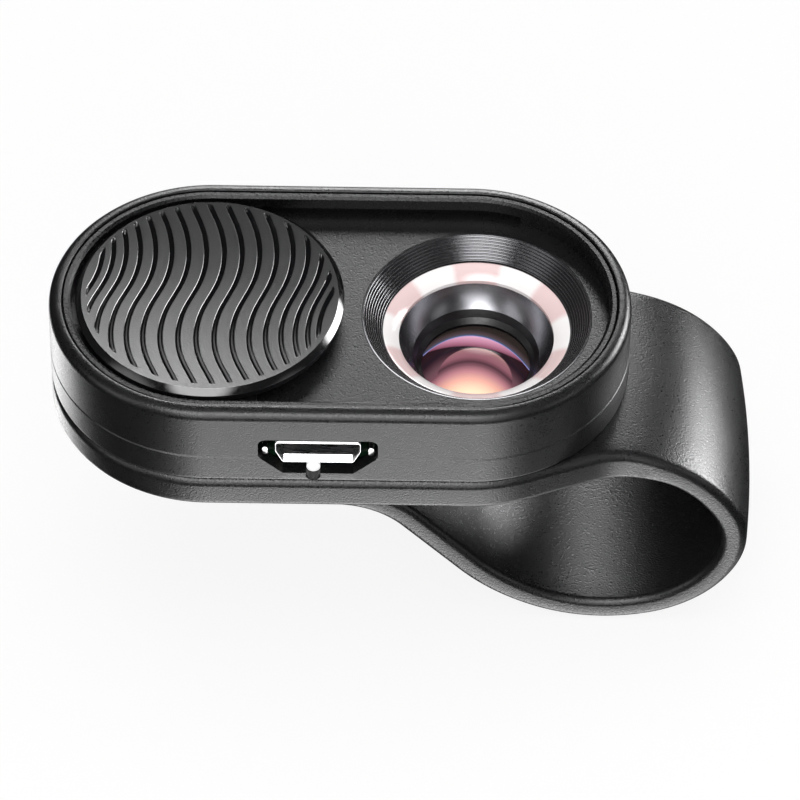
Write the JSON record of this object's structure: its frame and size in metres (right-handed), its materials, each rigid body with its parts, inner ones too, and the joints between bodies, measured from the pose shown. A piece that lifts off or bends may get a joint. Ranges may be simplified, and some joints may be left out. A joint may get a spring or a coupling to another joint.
{
  "type": "clip-on phone lens",
  "caption": "Stadium-shaped close-up lens unit with a lit lens well, a sliding round cover and a bent spring clip that grips a phone's edge.",
  "frame": {"origin": "on the lens axis, in the plane of the soft ring that lies on the phone", "axes": "+Z along the lens axis away from the phone, +X along the housing towards the clip's loop, -Y to the charging port"},
  "size_m": [0.0623, 0.0286, 0.0313],
  "materials": {
    "grained_black": "fine-grained moulded ABS, matt",
    "satin_black": "smooth moulded ABS, satin",
    "cover_black": "fine-grained face with polished chamfer and grooves",
    "polished_black": "polished dark reflector",
    "diffuser": "milky polycarbonate, glossy",
    "coated_glass": "polished optical glass with a magenta-blue coating",
    "board_green": "glass-fibre board under solder mask",
    "plated_steel": "nickel-plated sheet steel",
    "tongue_plastic": "moulded contact carrier",
    "soft_pad": "soft silicone, matt",
    "screw_steel": "zinc-plated steel",
    "magnet_metal": "nickel-plated magnet",
    "cell_foil": "laminated foil pouch",
    "chip_plastic": "moulded chip body",
    "lamp_white": "small white lamp body with yellow phosphor"
  },
  "bodies": {
    "base": {"upper_housing": "grained_black", "rail_frame": "satin_black", "lower_housing": "grained_black", "spring_clip": "grained_black", "funnel_ring": "satin_black", "light_ring": "diffuser", "reflector_cup": "polished_black", "lens_barrel": "satin_black", "front_lens": "coated_glass", "spacer_ring": "satin_black", "rear_lens": "coated_glass", "retaining_ring": "satin_black", "main_board": "board_green", "ring_leds": "lamp_white", "usb_shell": "plated_steel", "usb_tongue": "tongue_plastic", "light_pipe": "diffuser", "phone_pad": "soft_pad", "plate_pad": "soft_pad", "arm_pad": "soft_pad", "case_screws": "screw_steel", "battery_cell": "cell_foil", "charge_chip": "chip_plastic", "hall_sensor": "chip_plastic", "indicator_led": "lamp_white"},
    "cover": {"cover_disc": "cover_black", "cover_slider": "satin_black", "cover_magnet": "magnet_metal"}
  },
  "joints": [
    {"name": "cover_slide", "type": "slide", "parent": "base", "child": "cover", "axis": [1, 0, 0], "range_m": [0, 0.023]}
  ]
}
